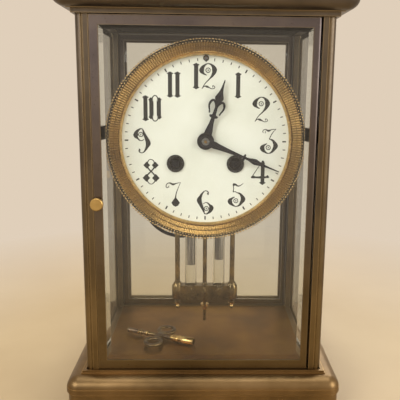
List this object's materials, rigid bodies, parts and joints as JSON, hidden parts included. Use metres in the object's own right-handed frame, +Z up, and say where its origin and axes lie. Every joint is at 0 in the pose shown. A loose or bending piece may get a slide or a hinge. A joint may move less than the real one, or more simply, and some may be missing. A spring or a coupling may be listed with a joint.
{
  "type": "mantel clock",
  "caption": "Four-glass mantel clock: brass case with bevelled glass and two hinged doors, round enamel dial, spring-driven striking movement and vial pendulum.",
  "frame": {"origin": "middle of the underside of the base", "axes": "+Z up, the dial faces -Y, +X to the right of someone facing the dial"},
  "size_m": [0.1654, 0.1324, 0.2544],
  "materials": {
    "case_brass": "aged brown brass",
    "door_brass": "aged brown brass",
    "clear_glass": "clear, bevelled",
    "screw_steel": "turned",
    "knob_brass": "polished",
    "bezel_brass": "gilt, knurled",
    "floor_brass": "polished, worn",
    "enamel": "glossy vitreous enamel",
    "grommet_black": "black",
    "blued_steel": "blued",
    "movement_brass": "polished",
    "movement_steel": "polished",
    "gong_steel": "blued wire",
    "pendulum_brass": "aged",
    "vial_glass": "clear",
    "cylinder_steel": "nickel",
    "key_brass": "aged"
  },
  "bodies": {
    "case": {"base_plinth": "case_brass", "floor_plate": "floor_brass", "post_front_left": "case_brass", "post_front_right": "case_brass", "post_rear_left": "case_brass", "post_rear_right": "case_brass", "cornice": "case_brass", "ceiling_plate": "case_brass", "case_screws": "screw_steel", "side_glass_left": "clear_glass", "side_glass_right": "clear_glass", "movement_brackets": "case_brass", "bezel": "bezel_brass", "dial_pan": "movement_brass", "dial": "enamel", "dial_grommets": "grommet_black", "front_plate": "movement_brass", "back_plate": "movement_brass", "plate_pillars": "movement_brass", "gong": "gong_steel", "gong_stand": "movement_brass", "suspension_cock": "movement_brass"},
    "front_door": {"front_door_frame": "door_brass", "front_door_glass": "clear_glass", "front_hinge_pins": "door_brass"},
    "front_knob": {"front_latch": "knob_brass"},
    "rear_door": {"rear_door_frame": "door_brass", "rear_door_glass": "clear_glass", "rear_hinge_pins": "door_brass"},
    "rear_knob": {"rear_latch": "knob_brass"},
    "minute_work": {"minute_hand": "blued_steel", "hand_collet": "movement_steel", "centre_wheel": "movement_brass"},
    "hour_work": {"hour_hand": "blued_steel", "hour_wheel": "movement_brass"},
    "minute_wheel": {"minute_wheel": "movement_brass"},
    "intermediate": {"intermediate_wheel": "movement_brass"},
    "going_barrel": {"going_barrel": "movement_brass", "going_mainspring": "movement_steel"},
    "third": {"third_wheel": "movement_brass"},
    "escape": {"escape_wheel": "movement_brass"},
    "pallets": {"anchor": "movement_steel"},
    "going_winder": {"going_arbor": "movement_steel"},
    "going_click": {"going_click": "movement_steel"},
    "strike_barrel": {"strike_barrel": "movement_brass", "strike_mainspring": "movement_steel"},
    "strike_winder": {"strike_arbor": "movement_steel"},
    "strike_click": {"strike_click": "movement_steel"},
    "strike_second": {"strike_wheel": "movement_brass"},
    "pin_work": {"pin_wheel": "movement_brass"},
    "locking": {"locking_wheel": "movement_brass"},
    "warning": {"warning_wheel": "movement_brass"},
    "fly": {"fly": "movement_brass"},
    "hammer": {"hammer": "movement_steel"},
    "regulator": {"regulator_arbor": "movement_steel"},
    "suspension": {"suspension_spring": "movement_steel"},
    "pendulum": {"pendulum_frame": "pendulum_brass", "pendulum_vials": "vial_glass", "vial_cylinders": "cylinder_steel"},
    "rating_nut": {"rating_nut": "movement_brass"},
    "key": {"winding_key": "key_brass"}
  },
  "joints": [
    {"name": "front_door_hinge", "type": "hinge", "parent": "case", "child": "front_door", "pos_m": [0.0615, -0.05245, 0.1282], "axis": [0, 0, 1], "range_deg": [0, 90]},
    {"name": "front_latch_turn", "type": "hinge", "parent": "front_door", "child": "front_knob", "pos_m": [-0.06175, -0.0547, 0.1277], "axis": [0, -1, 0], "range_deg": [0, 90]},
    {"name": "rear_door_hinge", "type": "hinge", "parent": "case", "child": "rear_door", "pos_m": [0.0615, 0.05245, 0.1282], "axis": [0, 0, -1], "range_deg": [0, 90]},
    {"name": "rear_latch_turn", "type": "hinge", "parent": "rear_door", "child": "rear_knob", "pos_m": [-0.06175, 0.0547, 0.1277], "axis": [0, -1, 0], "range_deg": [0, 90]},
    {"name": "minute_hand_turn", "type": "hinge", "parent": "case", "child": "minute_work", "pos_m": [0, -0.0289, 0.163], "axis": [0, 1, 0], "continuous": true},
    {"name": "hour_hand_turn", "type": "hinge", "parent": "case", "child": "hour_work", "pos_m": [0, -0.0289, 0.163], "axis": [0, 1, 0], "continuous": true},
    {"name": "minute_wheel_turn", "type": "hinge", "parent": "case", "child": "minute_wheel", "pos_m": [0, -0.0289, 0.1504], "axis": [0, 1, 0], "continuous": true},
    {"name": "intermediate_turn", "type": "hinge", "parent": "case", "child": "intermediate", "pos_m": [0.01398, -0.0289, 0.16832], "axis": [0, 1, 0], "continuous": true},
    {"name": "going_barrel_turn", "type": "hinge", "parent": "case", "child": "going_barrel", "pos_m": [0.0178, -0.0289, 0.1495], "axis": [0, 1, 0], "continuous": true},
    {"name": "third_turn", "type": "hinge", "parent": "case", "child": "third", "pos_m": [-0.00196, -0.0289, 0.17694], "axis": [0, 1, 0], "continuous": true},
    {"name": "escape_turn", "type": "hinge", "parent": "case", "child": "escape", "pos_m": [0, -0.0289, 0.18848], "axis": [0, 1, 0], "continuous": true},
    {"name": "locking_turn", "type": "hinge", "parent": "case", "child": "locking", "pos_m": [-0.01048, -0.0289, 0.18829], "axis": [0, 1, 0], "continuous": true},
    {"name": "pin_wheel_turn", "type": "hinge", "parent": "case", "child": "pin_work", "pos_m": [-0.01599, -0.0289, 0.18006], "axis": [0, 1, 0], "continuous": true},
    {"name": "strike_second_turn", "type": "hinge", "parent": "case", "child": "strike_second", "pos_m": [-0.02199, -0.0289, 0.16824], "axis": [0, 1, 0], "continuous": true},
    {"name": "strike_barrel_turn", "type": "hinge", "parent": "case", "child": "strike_barrel", "pos_m": [-0.0178, -0.0289, 0.1495], "axis": [0, 1, 0], "continuous": true},
    {"name": "warning_turn", "type": "hinge", "parent": "case", "child": "warning", "pos_m": [-0.01812, -0.0289, 0.1927], "axis": [0, 1, 0], "continuous": true},
    {"name": "fly_turn", "type": "hinge", "parent": "case", "child": "fly", "pos_m": [-0.0246, -0.0289, 0.1927], "axis": [0, 1, 0], "continuous": true},
    {"name": "going_winding", "type": "hinge", "parent": "case", "child": "going_winder", "pos_m": [0.0178, -0.0289, 0.1495], "axis": [0, 1, 0], "continuous": true},
    {"name": "strike_winding", "type": "hinge", "parent": "case", "child": "strike_winder", "pos_m": [-0.0178, -0.0289, 0.1495], "axis": [0, 1, 0], "continuous": true},
    {"name": "going_click_lift", "type": "hinge", "parent": "case", "child": "going_click", "pos_m": [0.0254, -0.0289, 0.1423], "axis": [0, 1, 0], "range_deg": [0, 10], "stiffness_Nm_per_rad": 0.001, "springref_deg": -17.19},
    {"name": "strike_click_lift", "type": "hinge", "parent": "case", "child": "strike_click", "pos_m": [-0.0254, -0.0289, 0.1423], "axis": [0, -1, 0], "range_deg": [0, 10], "stiffness_Nm_per_rad": 0.001, "springref_deg": -17.19},
    {"name": "hammer_lift", "type": "hinge", "parent": "case", "child": "hammer", "pos_m": [-0.033, -0.0289, 0.179], "axis": [0, 1, 0], "range_deg": [0, 10], "stiffness_Nm_per_rad": 0.02, "springref_deg": -34.38},
    {"name": "regulator_turn", "type": "hinge", "parent": "case", "child": "regulator", "pos_m": [0, -0.0289, 0.2106], "axis": [0, 1, 0], "range_deg": [-180, 180]},
    {"name": "suspension_slide", "type": "slide", "parent": "case", "child": "suspension", "axis": [0, 0, 1], "range_m": [-0.001, 0.001]},
    {"name": "pendulum_swing", "type": "hinge", "parent": "suspension", "child": "pendulum", "pos_m": [0, 0.0081, 0.199], "axis": [0, 1, 0], "range_deg": [-2.5, 2.5]},
    {"name": "pallets_rock", "type": "hinge", "parent": "case", "child": "pallets", "pos_m": [0, -0.0289, 0.199], "axis": [0, 1, 0], "range_deg": [-2.5, 2.5]},
    {"name": "rating_nut_turn", "type": "hinge", "parent": "pendulum", "child": "rating_nut", "pos_m": [0, 0.0081, 0.042], "axis": [0, 0, 1], "continuous": true},
    {"name": "key_lift", "type": "slide", "parent": "case", "child": "key", "axis": [0, 0, 1], "range_m": [0, 0.015]}
  ],
  "couplings": [
    {"joint": "hour_hand_turn", "follows": "minute_hand_turn", "ratio": 0.083333},
    {"joint": "minute_wheel_turn", "follows": "minute_hand_turn", "ratio": -0.33333},
    {"joint": "intermediate_turn", "follows": "minute_hand_turn", "ratio": -0.12821},
    {"joint": "going_barrel_turn", "follows": "minute_hand_turn", "ratio": 0.018315},
    {"joint": "third_turn", "follows": "minute_hand_turn", "ratio": -10},
    {"joint": "escape_turn", "follows": "minute_hand_turn", "ratio": 120},
    {"joint": "pin_wheel_turn", "follows": "locking_turn", "ratio": -0.1},
    {"joint": "strike_second_turn", "follows": "locking_turn", "ratio": 0.011429},
    {"joint": "strike_barrel_turn", "follows": "locking_turn", "ratio": -0.0016327},
    {"joint": "warning_turn", "follows": "locking_turn", "ratio": -8},
    {"joint": "fly_turn", "follows": "locking_turn", "ratio": 64},
    {"joint": "regulator_turn", "follows": "suspension_slide", "rad_per_m": 3141.6},
    {"joint": "pallets_rock", "follows": "pendulum_swing", "ratio": 1}
  ]
}
